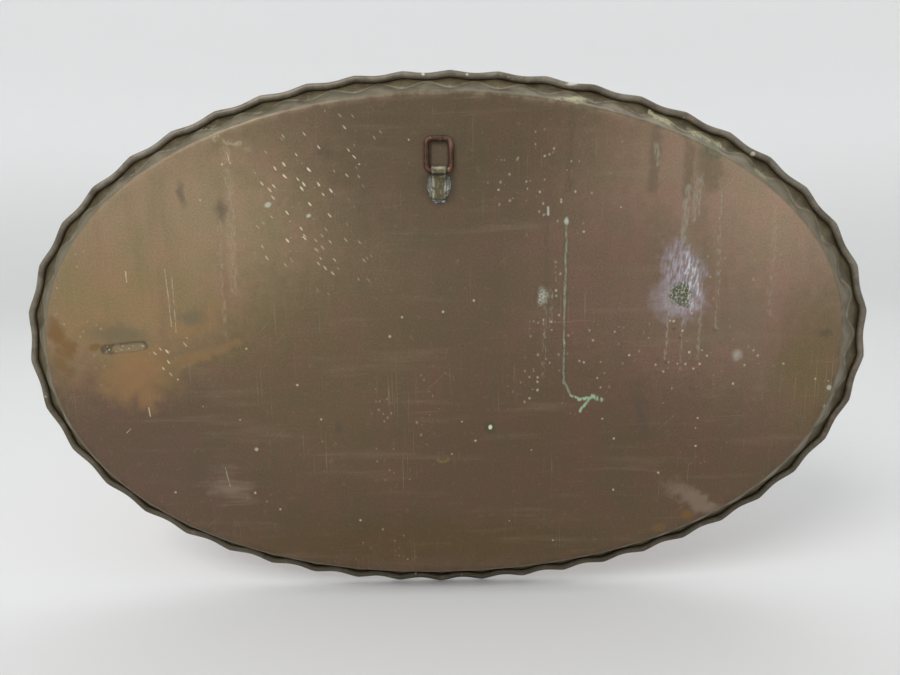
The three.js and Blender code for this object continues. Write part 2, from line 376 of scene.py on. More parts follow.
def hanger_bail(material):
    """A ring of wire: a small circle carried round the bail's line, then joined end to end."""
    line, sides = bail_line(), 20
    bm = bmesh.new()
    rings = []
    for i, here in enumerate(line):
        along = (line[(i + 1) % len(line)] - line[i - 1]).normalized()
        turn = Matrix.Rotation(-atan2(along.y, along.x), 4, "Y") @ Matrix.Rotation(pi / 2, 4, "Y")
        place = Matrix.Translation((here.x, 0, here.y)) @ turn
        made = bmesh.ops.create_circle(bm, segments=sides, radius=BAIL_WIRE_RADIUS, matrix=place)
        rings.append(made["verts"])
    edge_rings = [list({e for v in ring for e in v.link_edges}) for ring in rings]
    for a, b in zip(edge_rings, edge_rings[1:] + edge_rings[:1]):
        bmesh.ops.bridge_loops(bm, edges=a + b)
    bm.normal_update()
    tilt = -asin((AXIS_STANDOFF - BAIL_WIRE_RADIUS - SEAT_GAP) / BAIL_REACH)
    for vert in bm.verts:
        worn_in = noise.noise(vert.co * 0.45) * 0.16 + noise.noise(vert.co * 1.6) * 0.05
        vert.co -= vert.normal * (BAIL_WEAR + worn_in * min(1, max(0, vert.co.z / 6)))
    bmesh.ops.rotate(bm, verts=bm.verts, cent=(0, 0, 0), matrix=Matrix.Rotation(tilt, 3, "X"))
    bmesh.ops.translate(bm, verts=bm.verts, vec=AXIS)
    return finished("hanger_bail_wire", bm, [material])


def solder_mound(name, material, centre, half, cuts, seed):
    """A lump of solder on the back face, cut flat where it meets the face and the strap."""
    bm = bmesh.new()
    bmesh.ops.create_icosphere(bm, subdivisions=5, radius=1)
    for vert in bm.verts:
        lump = noise.noise(vert.co * 2.1 + Vector((seed, 0, 0))) * 0.22
        lump += noise.noise(vert.co * 5.5 + Vector((0, seed, 0))) * 0.07
        vert.co *= 0.9 + lump
    bmesh.ops.scale(bm, vec=half, verts=bm.verts)
    bmesh.ops.translate(bm, vec=centre, verts=bm.verts)
    for point, normal in [((0, -0.03, 0), (0, 1, 0)), *cuts]:
        geom = bm.verts[:] + bm.edges[:] + bm.faces[:]
        cut = bmesh.ops.bisect_plane(bm, geom=geom, plane_co=point, plane_no=normal, clear_outer=True)
        rim = [e for e in cut["geom_cut"] if isinstance(e, bmesh.types.BMEdge)]
        bmesh.ops.edgeloop_fill(bm, edges=rim)
    return finished(name, bm, [material])


# ---------------------------------------------------------------- node helpers
def srgb(red, green, blue):
    def linear(value):
        share = value / 255
        return share / 12.92 if share <= 0.04045 else ((share + 0.055) / 1.055) ** 2.4

    return (linear(red), linear(green), linear(blue), 1)


class Graph:
    """Adds nodes to a tree. Any value given may be a plain value or another node's output."""

    def __init__(self, tree):
        self.tree = tree

    def feed(self, socket, value):
        if isinstance(value, bpy.types.NodeSocket):
            self.tree.links.new(value, socket)
        else:
            socket.default_value = value

    def node(self, kind, settings, values):
        made = self.tree.nodes.new(kind)
        for name, value in settings.items():
            setattr(made, name, value)
        for key, value in values.items():
            self.feed(made.inputs[key], value)
        return made

    def math(self, operation, a, b=0.0):
        return self.node("ShaderNodeMath", {"operation": operation}, {0: a, 1: b}).outputs[0]

    def times(self, *values):
        product = values[0]
        for value in values[1:]:
            product = self.math("MULTIPLY", product, value)
        return product

    def most(self, *values):
        largest = values[0]
        for value in values[1:]:
            largest = self.math("MAXIMUM", largest, value)
        return largest

    def vector(self, operation, a, b=(0, 0, 0)):
        return self.node("ShaderNodeVectorMath", {"operation": operation}, {0: a, 1: b}).outputs[0]

    def length(self, a):
        return self.node("ShaderNodeVectorMath", {"operation": "LENGTH"}, {0: a}).outputs["Value"]

    def dot(self, a, b):
        return self.node("ShaderNodeVectorMath", {"operation": "DOT_PRODUCT"}, {0: a, 1: b}).outputs["Value"]

    def band(self, value, low, high):
        values = {"Value": value, "From Min": low, "From Max": high}
        return self.node("ShaderNodeMapRange", {"interpolation_type": "SMOOTHSTEP"}, values).outputs[0]

    def noise(self, vector, scale, detail=3.0, roughness=0.55):
        values = {"Vector": vector, "Scale": scale, "Detail": detail, "Roughness": roughness}
        return self.node("ShaderNodeTexNoise", {}, values).outputs["Fac"]

    def noise_vector(self, vector, scale, detail=2.0):
        values = {"Vector": vector, "Scale": scale, "Detail": detail}
        colour = self.node("ShaderNodeTexNoise", {}, values).outputs["Color"]
        return self.vector("SUBTRACT", colour, (0.5, 0.5, 0.5))

    def scaled(self, vector, size):
        values = {0: vector, "Scale": size}
        return self.node("ShaderNodeVectorMath", {"operation": "SCALE"}, values).outputs[0]

    def turned(self, vector, angle):
        values = {"Vector": vector, "Angle": angle}
        return self.node("ShaderNodeVectorRotate", {"rotation_type": "Y_AXIS"}, values).outputs[0]

    def mapped(self, vector, scale, angle=0.0):
        """The vector turned about Y, then stretched through a Mapping node."""
        values = {"Vector": self.turned(vector, angle) if angle else vector, "Scale": scale}
        return self.node("ShaderNodeMapping", {}, values).outputs[0]

    def mix(self, share, a, b, blend="MIX"):
        settings = {"data_type": "RGBA", "blend_type": blend}
        return self.node("ShaderNodeMix", settings, {0: share, 6: a, 7: b}).outputs[2]

    def blend(self, share, a, b):
        return self.node("ShaderNodeMix", {"data_type": "FLOAT"}, {0: share, 2: a, 3: b}).outputs[0]

    def group(self, tree, values):
        return self.node("ShaderNodeGroup", {"node_tree": tree}, values).outputs


def new_group(name, inputs, outputs):
    """A node group, its graph, its input sockets by name and its output node."""
    tree = bpy.data.node_groups.new(name, "ShaderNodeTree")
    kinds = {"f": "NodeSocketFloat", "v": "NodeSocketVector", "c": "NodeSocketColor"}
    for label, kind in inputs:
        tree.interface.new_socket(label, in_out="INPUT", socket_type=kinds[kind])
    for label, kind in outputs:
        tree.interface.new_socket(label, in_out="OUTPUT", socket_type=kinds[kind])
    return tree, Graph(tree), tree.nodes.new("NodeGroupInput").outputs, tree.nodes.new("NodeGroupOutput")


IN_PLANE = (1, 0, 1)


def spot_group():
    tree, g, given, result = new_group(
        "ragged_spot",
        [
            ("Vector", "v"), ("Shake", "v"), ("Centre", "v"), ("Half", "v"),
            ("Turn", "f"), ("Ragged", "f"), ("Soft", "f"),
        ],
        [("Mask", "f")],
    )
    shaken = g.vector("ADD", given["Vector"], g.scaled(given["Shake"], given["Ragged"]))
    place = g.turned(g.vector("SUBTRACT", shaken, given["Centre"]), given["Turn"])
    distance = g.length(g.vector("DIVIDE", g.vector("MULTIPLY", place, IN_PLANE), given["Half"]))
    edge = g.band(distance, g.math("SUBTRACT", 1.0, given["Soft"]), g.math("ADD", 1.0, given["Soft"]))
    g.feed(result.inputs["Mask"], g.math("SUBTRACT", 1.0, edge))
    return tree


def stroke_group():
    tree, g, given, result = new_group(
        "broken_stroke",
        [
            ("Vector", "v"), ("Shake", "v"), ("Gaps", "f"), ("Start", "v"), ("End", "v"),
            ("Width", "f"), ("Ragged", "f"), ("Broken", "f"),
        ],
        [("Mask", "f")],
    )
    shaken = g.vector("ADD", given["Vector"], g.scaled(given["Shake"], given["Ragged"]))
    from_start = g.vector("SUBTRACT", g.vector("MULTIPLY", shaken, IN_PLANE), given["Start"])
    whole = g.vector("SUBTRACT", given["End"], given["Start"])
    share = g.math("DIVIDE", g.dot(from_start, whole), g.dot(whole, whole))
    share = g.node("ShaderNodeClamp", {}, {"Value": share}).outputs[0]
    distance = g.length(g.vector("SUBTRACT", from_start, g.scaled(whole, share)))
    line = g.math("SUBTRACT", 1.0, g.band(distance, g.times(given["Width"], 0.25), given["Width"]))
    fading = g.math("ADD", given["Broken"], g.times(g.math("SUBTRACT", 1.0, line), 0.12))
    kept = g.band(given["Gaps"], g.math("SUBTRACT", fading, 0.11), g.math("ADD", fading, 0.11))
    g.feed(result.inputs["Mask"], g.math("MULTIPLY", line, kept))
    return tree


def dots_group():
    tree, g, given, result = new_group(
        "scattered_dots",
        [("Vector", "v"), ("Size", "f"), ("Share", "f")],
        [("Mask", "f")],
    )
    cells = g.node("ShaderNodeTexVoronoi", {}, {"Vector": given["Vector"], "Scale": 1.0}).outputs
    pick = g.node("ShaderNodeSeparateColor", {}, {"Color": cells["Color"]}).outputs
    chosen = g.math("LESS_THAN", pick[0], given["Share"])
    size = g.times(given["Size"], g.math("ADD", 0.3, pick[1]))
    dot = g.math("SUBTRACT", 1.0, g.band(cells["Distance"], g.times(size, 0.4), size))
    g.feed(result.inputs["Mask"], g.times(dot, chosen))
    return tree


def hairs_group():
    tree, g, given, result = new_group(
        "hairline_scratches",
        [("Vector", "v"), ("Patches", "f"), ("Least", "f")],
        [("Mask", "f")],
    )
    lines = g.noise(given["Vector"], 1.0, 2, 0.4)
    mask = g.times(g.band(lines, given["Least"], g.math("ADD", given["Least"], 0.06)), given["Patches"])
    g.feed(result.inputs["Mask"], mask)
    return tree


SPOT, STROKE, DOTS, HAIRS = spot_group(), stroke_group(), dots_group(), hairs_group()


class Finish(Graph):
    """A material's graph, with its Principled shader and the object's own coordinates."""

    def __init__(self, name):
        self.material = bpy.data.materials.new(name)
        self.material.use_nodes = True
        super().__init__(self.material.node_tree)
        self.shader = self.tree.nodes["Principled BSDF"]
        self.place = self.node("ShaderNodeTexCoord", {}, {}).outputs["Object"]
        self.shake = self.noise_vector(self.place, 90, 4)
        self.gaps = self.noise(self.mapped(self.place, (430, 1, 150)), 1.0, 4, 0.6)
        self.patches = self.band(self.noise(self.place, 15, 3), 0.46, 0.66)

    def spot(self, x, z, half_x, half_z, turn=0.0, ragged=0.004, soft=0.35):
        values = {
            "Vector": self.place, "Shake": self.shake, "Centre": (x, 0, z), "Half": (half_x, 1, half_z),
            "Turn": turn, "Ragged": ragged, "Soft": soft,
        }
        return self.group(SPOT, values)["Mask"]

    def stroke(self, start, end, width, ragged=0.003, broken=0.0):
        values = {
            "Vector": self.place, "Shake": self.shake, "Gaps": self.gaps,
            "Start": (start[0], 0, start[1]), "End": (end[0], 0, end[1]),
            "Width": width, "Ragged": ragged, "Broken": broken,
        }
        return self.group(STROKE, values)["Mask"]

    def dots(self, per_metre, size, share, angle=0.0):
        """Dots that cover a share of cells, so many to the metre across and along."""
        across, along = per_metre
        loose = self.vector("ADD", self.place, self.scaled(self.shake, 0.003))
        values = {"Vector": self.mapped(loose, (across, 20, along), angle), "Size": size, "Share": share}
        return self.group(DOTS, values)["Mask"]

    def hairs(self, angle, least, across=700, along=5):
        values = {
            "Vector": self.mapped(self.place, (along, 40, across), angle),
            "Patches": self.patches, "Least": least,
        }
        return self.group(HAIRS, values)["Mask"]

    def attribute(self, name):
        return self.node("ShaderNodeAttribute", {"attribute_name": name}, {}).outputs["Fac"]

    def finish(self, colour, roughness, metallic, height=None, depth=0.0003, specular=0.5):
        self.feed(self.shader.inputs["Base Color"], colour)
        self.feed(self.shader.inputs["Roughness"], roughness)
        self.feed(self.shader.inputs["Metallic"], metallic)
        self.feed(self.shader.inputs["Specular IOR Level"], specular)
        if height is not None:
            values = {"Height": height, "Distance": depth, "Strength": 1.0}
            bump = self.node("ShaderNodeBump", {}, values)
            self.feed(self.shader.inputs["Normal"], bump.outputs[0])
        return self.material


# ---------------------------------------------------------------- finishes
def aged_copper_back():
    f = Finish("aged_copper_back")
    p = f.place
    cloud, mottle, grain = f.noise(p, 7, 5), f.noise(p, 26, 6, 0.62), f.noise(p, 150, 4, 0.6)
    wash = f.noise(f.mapped(p, (34, 1, 4)), 1.0, 4, 0.6)
    rub = f.noise(f.mapped(p, (7, 1, 75)), 1.0, 3, 0.6)

    # The broad tones of the tarnish, with painted light among them: the pale pools at the upper left and
    # upper right are painted light on the metal, and the tones grow darker towards the bottom.
    colour = f.mix(f.band(cloud, 0.38, 0.62), srgb(104, 86, 66), srgb(107, 85, 71))
    tones = [
        (-0.25, 0.115, 0.19, 0.10, srgb(153, 134, 110), 0.95),
        (0.29, 0.125, 0.16, 0.11, srgb(166, 143, 126), 0.95),
        (-0.32, 0.03, 0.11, 0.07, srgb(148, 125, 93), 0.9),
        (-0.01, 0.19, 0.13, 0.09, srgb(93, 79, 61), 0.85),
        (0.0, 0.05, 0.12, 0.12, srgb(101, 86, 70), 0.6),
        (0.17, 0.06, 0.10, 0.10, srgb(114, 92, 80), 0.8),
        (0.31, 0.0, 0.11, 0.08, srgb(131, 109, 97), 0.7),
        (0.0, -0.13, 0.30, 0.10, srgb(99, 79, 63), 0.9),
        (-0.28, -0.10, 0.12, 0.08, srgb(101, 82, 70), 0.8),
        (-0.13, -0.02, 0.10, 0.10, srgb(108, 91, 68), 0.7),
        (0.36, -0.02, 0.035, 0.055, srgb(114, 99, 66), 0.7),
        (-0.03, -0.205, 0.16, 0.022, srgb(93, 76, 47), 0.8),
    ]
    for x, z, half_x, half_z, tone, share in tones:
        mask = f.spot(x, z, half_x, half_z, ragged=0.05, soft=0.75)
        colour = f.mix(f.times(mask, share), colour, tone)
    veil = f.mix(f.band(mottle, 0.3, 0.7), srgb(160, 166, 146), srgb(180, 168, 162))
    colour = f.mix(0.75, colour, veil, "OVERLAY")
    colour = f.mix(f.times(f.band(wash, 0.5, 0.75), 0.2), colour, srgb(88, 76, 60))
    colour = f.mix(f.times(f.band(rub, 0.52, 0.78), 0.22), colour, srgb(140, 122, 102))
    colour = f.mix(f.times(f.band(grain, 0.55, 0.8), 0.25), colour, srgb(140, 121, 100))
    fine = f.noise(p, 520, 2, 0.7)
    fine_veil = f.mix(f.band(fine, 0.3, 0.7), srgb(168, 168, 164), srgb(206, 205, 200))
    colour = f.mix(0.5, colour, fine_veil, "OVERLAY")

    # Rust-brown and orange stains by the left end, with the gouge in the middle of them.
    orange = f.most(
        f.spot(-0.312, -0.024, 0.034, 0.024, 0.4, 0.03, 0.6),
        f.times(f.spot(-0.300, -0.046, 0.012, 0.014, 0.0, 0.02, 0.6), 0.9),
        f.times(f.stroke((-0.272, -0.014), (-0.238, -0.004), 0.010, 0.02), 0.6),
        f.times(f.stroke((-0.244, -0.007), (-0.206, 0.007), 0.006, 0.012), 0.6),
        f.times(f.stroke((-0.262, 0.018), (-0.234, 0.028), 0.012, 0.02), 0.5),
        f.times(f.stroke((-0.238, 0.026), (-0.225, 0.046), 0.008, 0.012), 0.6),
    )
    colour = f.mix(f.times(orange, 0.62), colour, srgb(148, 112, 70))
    olive = f.most(
        f.spot(-0.345, 0.018, 0.028, 0.014, 0.2, 0.03, 0.6),
        f.spot(-0.278, -0.03, 0.013, 0.018, 0, 0.03, 0.7),
    )
    colour = f.mix(f.times(olive, 0.4), colour, srgb(122, 104, 62))
    bluish = f.most(
        f.spot(-0.322, 0.016, 0.026, 0.009, -0.12, 0.02, 0.6),
        f.spot(-0.251, 0.033, 0.015, 0.007, 0, 0.02, 0.7),
    )
    colour = f.mix(f.times(bluish, 0.5), colour, srgb(98, 92, 76))
    rust = f.most(
        f.spot(-0.385, 0.020, 0.008, 0.015, 0.3, 0.012, 0.4),
        f.spot(-0.377, 0.002, 0.010, 0.010, 0, 0.012, 0.4),
        f.spot(-0.384, -0.012, 0.005, 0.010, 0.6, 0.01, 0.5),
        f.spot(-0.376, -0.022, 0.004, 0.004, 0, 0.008, 0.5),
        f.spot(0.244, -0.179, 0.006, 0.0045, 0, 0.005, 0.3),
        f.spot(0.215, -0.193, 0.008, 0.004, 0.1, 0.005, 0.3),
        f.spot(-0.349, 0.004, 0.006, 0.0032, 0.3, 0.005, 0.5),
    )
    colour = f.mix(f.times(rust, f.band(mottle, 0.2, 0.6), 0.85), colour, srgb(108, 78, 34))
    # The gouge: its dark rim is painted shade along the dent's edge, its middle is paler, and the glints
    # along it are painted highlights.
    gouge_line = f.stroke((-0.338, 0.0015), (-0.301, 0.0050), 0.0072, 0.004)
    gouge = f.stroke((-0.328, 0.0020), (-0.302, 0.0046), 0.0050, 0.004)
    gouge_edge = f.times(f.band(gouge_line, 0.0, 0.7), f.math("SUBTRACT", 1.0, f.band(gouge, 0.0, 0.6)))
    colour = f.mix(f.times(gouge_edge, f.band(grain, 0.3, 0.5), 0.7), colour, srgb(66, 58, 42))
    colour = f.mix(f.times(gouge, 0.55), colour, srgb(124, 113, 86))
    glints = f.times(gouge_line, f.band(f.noise(p, 300, 3), 0.60, 0.68))
    colour = f.mix(f.times(glints, 0.8), colour, srgb(198, 192, 170))

    # Dark and pale green streaks where water ran down.
    damp = f.most(
        f.stroke((0.118, 0.231), (0.115, 0.150), 0.0045, 0.012, 0.44),
        f.stroke((0.197, 0.205), (0.195, 0.150), 0.008, 0.012, 0.36),
        f.stroke((0.229, 0.200), (0.228, 0.145), 0.008, 0.012, 0.36),
        f.stroke((0.247, 0.190), (0.250, 0.160), 0.020, 0.02, 0.36),
        f.stroke((0.095, 0.136), (0.096, 0.035), 0.0036, 0.006, 0.48),
    )
    colour = f.mix(f.times(damp, 0.42), colour, srgb(84, 74, 54))
    pale_streaks = f.most(
        f.stroke((0.229, 0.152), (0.226, 0.100), 0.0045, 0.007, 0.44),
        f.stroke((0.240, 0.162), (0.236, 0.122), 0.0062, 0.009, 0.50),
        f.stroke((0.260, 0.160), (0.263, 0.015), 0.0036, 0.006, 0.55),
        f.stroke((0.197, 0.190), (0.199, 0.174), 0.0044, 0.006, 0.50),
        f.stroke((0.215, 0.035), (0.214, -0.015), 0.0026, 0.004, 0.50),
        f.stroke((0.230, 0.036), (0.229, -0.030), 0.0024, 0.004, 0.56),
        f.stroke((0.247, 0.060), (0.246, -0.015), 0.0028, 0.004, 0.50),
        f.stroke((0.095, 0.045), (0.094, -0.032), 0.0032, 0.005, 0.55),
        f.stroke((0.101, 0.055), (0.100, 0.018), 0.0036, 0.006, 0.56),
    )
    colour = f.mix(f.times(pale_streaks, 0.5), colour, srgb(156, 156, 138))
    ghosts = f.most(
        f.stroke((0.313, 0.165), (0.314, 0.030), 0.0045, 0.010, 0.52),
        f.stroke((-0.206, 0.190), (-0.207, 0.060), 0.0070, 0.014, 0.50),
        f.stroke((-0.218, 0.140), (-0.219, 0.010), 0.0030, 0.010, 0.52),
        f.times(f.spot(-0.224, -0.145, 0.018, 0.026, 0.3, 0.03, 0.7), f.band(rub, 0.4, 0.6), 0.8),
        f.times(f.spot(0.255, -0.165, 0.036, 0.008, -0.55, 0.03, 0.7), 0.9),
    )
    colour = f.mix(f.times(ghosts, 0.28), colour, srgb(176, 158, 140))
    fine_cuts = f.most(
        f.times(f.stroke((-0.273, 0.080), (-0.271, 0.024), 0.0009, 0.0018, 0.44), 0.6),
        f.times(f.stroke((-0.267, 0.072), (-0.267, 0.018), 0.0009, 0.0018, 0.46), 0.6),
        f.times(f.stroke((-0.229, -0.122), (-0.225, -0.142), 0.0008, 0.0016, 0.44), 0.7),
        f.stroke((-0.311, 0.078), (-0.311, 0.068), 0.0011, 0.001, 0.42),
        f.stroke((-0.206, 0.188), (-0.203, 0.178), 0.0009, 0.001, 0.40),
        f.stroke((-0.301, -0.058), (-0.300, -0.067), 0.0010, 0.001, 0.42),
        f.stroke((-0.325, -0.084), (-0.321, -0.080), 0.0007, 0.001, 0.44),
        f.stroke((-0.261, 0.008), (-0.258, 0.004), 0.0009, 0.001, 0.42),
    )
    colour = f.mix(f.times(fine_cuts, 0.8), colour, srgb(194, 180, 152))

    # The bare patch under the streaks, with its pale bloom and green core.
    fibres = f.noise(f.mapped(p, (380, 1, 80), -0.14), 1.0, 5, 0.7)
    bloom = f.times(f.spot(0.229, 0.064, 0.018, 0.034, 0.22, 0.034, 0.5), f.band(fibres, 0.32, 0.62))
    colour = f.mix(f.times(bloom, 0.7), colour, srgb(176, 172, 186))
    halo = f.spot(0.222, 0.044, 0.022, 0.015, 0.0, 0.03, 0.6)
    colour = f.mix(f.times(halo, 0.4), colour, srgb(176, 168, 178))
    core = f.times(f.spot(0.227, 0.050, 0.011, 0.012, 0.3, 0.02, 0.4), f.band(f.noise(p, 420, 3), 0.38, 0.5))
    colour = f.mix(core, colour, srgb(74, 78, 52))
    lime = f.times(f.spot(0.223, 0.046, 0.013, 0.011, 0.3, 0.02, 0.5), f.band(f.noise(p, 520, 3), 0.60, 0.66))
    colour = f.mix(lime, colour, srgb(196, 188, 92))
    white_run = f.times(f.spot(0.235, 0.064, 0.008, 0.026, 0.1, 0.012, 0.5), f.band(fibres, 0.50, 0.6))
    colour = f.mix(f.times(white_run, 0.85), colour, srgb(206, 210, 210))

    # Verdigris: the long drip with its hook, the splashes and the deposits under the rim.
    drip = f.most(
        f.stroke((0.1145, 0.124), (0.1135, 0.030), 0.0021, 0.0022, 0.46),
        f.stroke((0.1135, 0.030), (0.1140, -0.038), 0.0019, 0.0022, 0.46),
        f.stroke((0.1140, -0.036), (0.121, -0.050), 0.0021, 0.0022, 0.44),
    )
    colour = f.mix(f.times(drip, 0.66), colour, srgb(132, 146, 126))
    drip_dark = f.math("SUBTRACT", f.stroke((0.114, 0.122), (0.114, -0.040), 0.0044, 0.003, 0.4), drip)
    colour = f.mix(f.times(f.band(drip_dark, 0.1, 1.0), 0.35), colour, srgb(74, 70, 54))
    hook = f.most(
        f.stroke((0.121, -0.050), (0.131, -0.0545), 0.0018, 0.004, 0.44),
        f.stroke((0.129, -0.055), (0.144, -0.053), 0.0026, 0.004, 0.42),
        f.stroke((0.143, -0.052), (0.153, -0.056), 0.0036, 0.006, 0.50),
        f.stroke((0.140, -0.054), (0.131, -0.067), 0.0022, 0.004, 0.42),
    )
    colour = f.mix(f.times(hook, 0.85), colour, srgb(150, 182, 148))
    splash = f.most(
        f.times(f.spot(0.092, 0.049, 0.0048, 0.0058, 0, 0.012, 0.7), f.band(fine, 0.3, 0.6)),
        f.stroke((0.0965, 0.134), (0.0965, 0.127), 0.0018, 0.002, 0.42),
        f.times(f.spot(0.285, -0.012, 0.004, 0.004, 0, 0.008, 0.9), 0.7),
        f.spot(0.114, 0.121, 0.002, 0.003, 0, 0.003, 0.6),
        f.spot(-0.170, 0.140, 0.0034, 0.0022, 0.5, 0.004, 0.4),
        f.spot(0.379, -0.046, 0.0024, 0.0024, 0, 0.002, 0.5),
        f.spot(-0.132, 0.129, 0.0022, 0.0016, 0.5, 0.003, 0.4),
        f.spot(0.377, -0.065, 0.0018, 0.0020, 0, 0.002, 0.5),
        f.spot(-0.005, 0.035, 0.0012, 0.0012, 0, 0.001, 0.4),
        f.spot(-0.196, -0.103, 0.0018, 0.0018, 0, 0.002, 0.5),
    )
    colour = f.mix(f.times(splash, 0.7), colour, srgb(184, 192, 176))
    drop_ring = f.spot(0.041, -0.083, 0.0050, 0.0060, 0, 0.006, 0.5)
    colour = f.mix(f.times(drop_ring, 0.75), colour, srgb(68, 66, 40))
    colour = f.mix(f.spot(0.041, -0.0825, 0.0018, 0.0024, 0, 0.002, 0.4), colour, srgb(204, 214, 184))
    drop_stain = f.times(f.spot(0.053, -0.092, 0.011, 0.010, 0, 0.02, 0.7), f.band(grain, 0.42, 0.6))
    colour = f.mix(f.times(drop_stain, 0.6), colour, srgb(78, 74, 56))
    dark_marks = f.most(
        f.spot(-0.114, 0.188, 0.006, 0.0045, 0, 0.01, 0.7),
        f.spot(-0.112, -0.082, 0.0035, 0.004, 0, 0.006, 0.7),
        f.spot(-0.214, 0.135, 0.006, 0.009, 0, 0.012, 0.8), f.spot(0.371, 0.009, 0.006, 0.004, 0, 0.012, 0.8),
        f.spot(0.192, -0.070, 0.006, 0.022, 0.2, 0.03, 0.8),
        f.spot(-0.252, 0.150, 0.003, 0.010, 0.1, 0.012, 0.8),
    )
    colour = f.mix(f.times(dark_marks, 0.5), colour, srgb(76, 68, 56))
    ring_hole = f.spot(-0.007, -0.1145, 0.0044, 0.0026, 0, 0.003, 0.3)
    ring = f.times(f.spot(-0.007, -0.116, 0.0062, 0.0038, 0, 0.003, 0.3), f.math("SUBTRACT", 1.0, ring_hole))
    colour = f.mix(f.times(ring, 0.55), colour, srgb(128, 108, 58))

    # Cream specks: a few everywhere, more in a slanting shower at the upper left and by the streaks.
    shower = f.most(
        f.spot(-0.125, 0.178, 0.055, 0.030, 0.55, 0.04, 0.6),
        f.spot(-0.135, 0.130, 0.055, 0.022, 0.75, 0.04, 0.6),
        f.times(f.spot(-0.105, 0.085, 0.030, 0.030, 0, 0.04, 0.7), 0.6),
        f.times(f.spot(-0.280, -0.010, 0.014, 0.016, 0, 0.02, 0.7), 0.9),
        f.times(f.spot(-0.222, -0.050, 0.010, 0.008, 0, 0.02, 0.7), 0.8),
    )
    rain = f.spot(0.232, -0.002, 0.034, 0.036, 0, 0.03, 0.7)
    side = f.most(
        f.spot(0.145, -0.015, 0.020, 0.045, -0.35, 0.03, 0.7),
        f.spot(0.300, -0.020, 0.018, 0.016, 0, 0.03, 0.7),
        f.spot(0.087, -0.045, 0.018, 0.020, 0.8, 0.02, 0.7), f.spot(0.10, 0.03, 0.02, 0.05, 0, 0.03, 0.7),
        f.spot(0.10, 0.16, 0.05, 0.04, 0, 0.03, 0.8),
    )
    flecks = f.dots((110, 330), 0.30, 0.46, -0.9)
    crowd, sparse = f.dots((240, 200), 0.30, 0.35), f.dots((85, 85), 0.11, 0.22)
    specks = f.most(
        f.times(sparse, 0.62), f.times(flecks, shower),
        f.times(crowd, f.most(rain, f.times(side, 0.7)), 0.75),
        f.times(crowd, f.band(cloud, 0.55, 0.7), 0.3),
    )
    colour = f.mix(specks, colour, srgb(204, 195, 168))
    colour = f.mix(f.times(f.dots((150, 190), 0.36, 0.4), rain, 0.6), colour, srgb(74, 80, 58))

    # Hairline scratches catch the light.
    hairs = f.most(
        f.times(f.hairs(0.05, 0.66, 700, 12), 0.7), f.hairs(1.57, 0.64, 700, 12),
        f.times(f.hairs(0.75, 0.68, 500, 14), 0.7),
    )
    colour = f.mix(f.times(hairs, 0.22), colour, srgb(170, 152, 130))

    # Painted shade: the bail's shadow drawn as a dark line just inside its outline, and painted shade round
    # the strap and the foot of the solder.
    bail_and_strap_shade = f.most(
        f.stroke((-0.0165, 0.174), (-0.0165, 0.197), 0.0040, 0.002, 0.3),
        f.stroke((-0.0165, 0.1965), (0.0035, 0.1965), 0.0042, 0.002, 0.3),
        f.stroke((0.0035, 0.174), (0.0035, 0.197), 0.0040, 0.002, 0.3),
        f.times(f.spot(-0.007, 0.154, 0.0155, 0.0165, 0, 0.005, 0.3), 0.75),
    )
    colour = f.mix(f.times(bail_and_strap_shade, 0.72), colour, srgb(62, 49, 37))

    # The wall and the flange under the rim carry grey-green tarnish; the pale lines along the creases and the
    # crests of the flutes are painted highlights.
    wall, flange, fold_highlight = f.attribute("wall"), f.attribute("flange"), f.attribute("fold_highlight")
    fine_mottle = f.noise(p, 62, 5, 0.65)
    # Painted light along the bend at the base's edge: a pale highlight at the top and dark shade on the lower
    # part.
    line = f.times(f.attribute("edge_line"), f.band(fine_mottle, 0.42, 0.6))
    low = f.band(f.node("ShaderNodeSeparateXYZ", {}, {"Vector": p}).outputs[2], 0.08, -0.04)
    colour = f.mix(f.times(line, 0.5), colour, f.mix(low, srgb(146, 128, 110), srgb(62, 52, 38)))
    wall_tone = f.mix(f.band(fine_mottle, 0.35, 0.65), srgb(88, 80, 58), srgb(122, 112, 88))
    wall_tone = f.mix(f.band(cloud, 0.45, 0.65), wall_tone, srgb(100, 94, 72))
    colour = f.mix(f.times(wall, 0.88), colour, wall_tone)
    flange_tone = f.mix(f.band(fine_mottle, 0.35, 0.65), srgb(70, 61, 40), srgb(100, 88, 62))
    colour = f.mix(f.times(flange, 0.92), colour, flange_tone)
    # Painted highlight along the creases and the ridges, broken up by the mottle.
    paler_marks = f.times(f.band(fold_highlight, 0.35, 1.0), f.band(fine_mottle, 0.3, 0.62))
    colour = f.mix(f.times(paler_marks, 0.6), colour, srgb(160, 153, 134))
    lime_crust = f.most(
        f.times(f.spot(0.118, 0.2335, 0.016, 0.0035, 0.1, 0.014, 0.6), f.band(grain, 0.38, 0.5)),
        f.times(f.stroke((0.196, 0.222), (0.214, 0.210), 0.0050, 0.012, 0.40), 0.9),
        f.times(f.stroke((0.236, 0.203), (0.262, 0.190), 0.0060, 0.014, 0.48), 0.9),
        f.times(f.stroke((0.298, 0.165), (0.306, 0.160), 0.0050, 0.008, 0.46), 0.8),
        f.times(f.spot(-0.215, 0.205, 0.030, 0.004, -0.45, 0.02, 0.7), f.band(grain, 0.5, 0.6), 0.6),
    )
    colour = f.mix(f.times(lime_crust, 0.72), colour, srgb(178, 176, 138))
    green_crust = f.times(f.spot(0.252, 0.186, 0.009, 0.008, -0.4, 0.02, 0.5), f.band(grain, 0.42, 0.55))
    colour = f.mix(f.times(green_crust, 0.7), colour, srgb(84, 98, 72))

